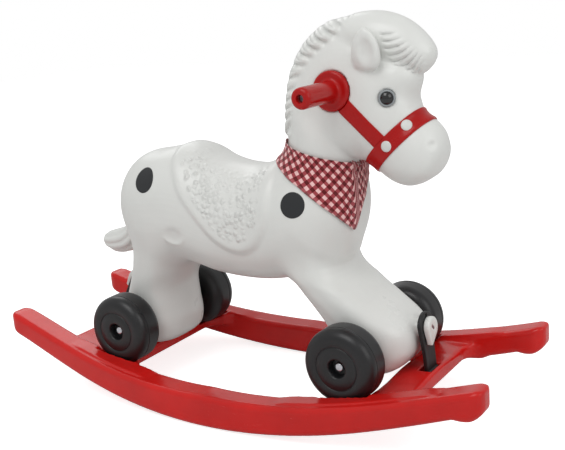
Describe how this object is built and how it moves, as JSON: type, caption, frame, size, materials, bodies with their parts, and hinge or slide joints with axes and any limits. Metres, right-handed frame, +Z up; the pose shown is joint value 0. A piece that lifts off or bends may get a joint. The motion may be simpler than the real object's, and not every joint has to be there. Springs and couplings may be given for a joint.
{
  "type": "rocking horse with wheels",
  "caption": "Hollow moulded plastic rocking horse on wheels, strapped to a red rocker base, with red handles, bridle and a gingham bandana",
  "frame": {"origin": "on the floor under the middle of the rockers", "axes": "+X forward, towards the horse's head; +Y to the horse's left; +Z up"},
  "size_m": [0.83, 0.347, 0.5636],
  "materials": {
    "base_red": "glossy moulded red plastic",
    "horse_white": "smooth moulded white plastic",
    "trim_red": "glossy red plastic",
    "wheel_black": "satin black plastic",
    "strap_rubber": "black rubber",
    "eye_grey": "glossy grey plastic",
    "eye_black": "polished black plastic",
    "spot_black": "thin black film",
    "bandana_cloth": "red and white gingham cotton",
    "chrome_cap": "bright plated steel",
    "steel": "plain steel"
  },
  "bodies": {
    "base": {"rocker_base": "base_red", "strap_pins": "steel"},
    "horse": {"horse_body": "horse_white", "handle_grip_right": "trim_red", "handle_grip_left": "trim_red", "handle_tie_rod": "steel", "handle_screws": "steel", "eye_rings": "eye_grey", "eye_domes": "eye_black", "noseband": "trim_red", "cheek_strap_right": "trim_red", "cheek_strap_left": "trim_red", "bridle_rivets": "horse_white", "bandana": "bandana_cloth", "bandana_knot": "bandana_cloth", "hip_spots": "spot_black", "shoulder_spots": "spot_black", "rear_axle": "steel", "front_axle": "steel", "axle_caps": "chrome_cap", "wheel_spacers": "wheel_black", "latch_screws": "steel"},
    "wheel_rear_r": {"wheel_rear_right": "wheel_black"},
    "wheel_rear_l": {"wheel_rear_left": "wheel_black"},
    "wheel_front_r": {"wheel_front_right": "wheel_black"},
    "wheel_front_l": {"wheel_front_left": "wheel_black"},
    "front_strap": {"strap_front": "strap_rubber"},
    "rear_strap": {"strap_rear": "strap_rubber"},
    "front_latch": {"latch_front": "horse_white"},
    "rear_latch": {"latch_rear": "horse_white"}
  },
  "joints": [
    {"name": "horse_lift", "type": "slide", "parent": "base", "child": "horse", "axis": [0, 0, 1], "range_m": [0, 0.15], "deforming": ["strap_front", "strap_rear"]},
    {"name": "wheel_rear_right_spin", "type": "hinge", "parent": "horse", "child": "wheel_rear_r", "pos_m": [-0.192, -0.1, 0.103], "axis": [0, 1, 0], "continuous": true},
    {"name": "wheel_rear_left_spin", "type": "hinge", "parent": "horse", "child": "wheel_rear_l", "pos_m": [-0.192, 0.1, 0.103], "axis": [0, 1, 0], "continuous": true},
    {"name": "wheel_front_right_spin", "type": "hinge", "parent": "horse", "child": "wheel_front_r", "pos_m": [0.204, -0.1, 0.103], "axis": [0, 1, 0], "continuous": true},
    {"name": "wheel_front_left_spin", "type": "hinge", "parent": "horse", "child": "wheel_front_l", "pos_m": [0.204, 0.1, 0.103], "axis": [0, 1, 0], "continuous": true},
    {"name": "strap_front_swing", "type": "hinge", "parent": "base", "child": "front_strap", "pos_m": [0.28609, 0, 0.065], "axis": [0, 1, 0], "range_deg": [0, 30], "deforming": ["strap_front"]},
    {"name": "strap_rear_swing", "type": "hinge", "parent": "base", "child": "rear_strap", "pos_m": [-0.30495, 0, 0.064], "axis": [0, -1, 0], "range_deg": [0, 65], "deforming": ["strap_rear"]},
    {"name": "latch_front_turn", "type": "hinge", "parent": "horse", "child": "front_latch", "pos_m": [0.277, 0, 0.131], "axis": [0.9962, 0, 0.0872], "continuous": true},
    {"name": "latch_rear_turn", "type": "hinge", "parent": "horse", "child": "rear_latch", "pos_m": [-0.24, 0, 0.151], "axis": [-0.8192, 0, 0.5736], "continuous": true}
  ]
}
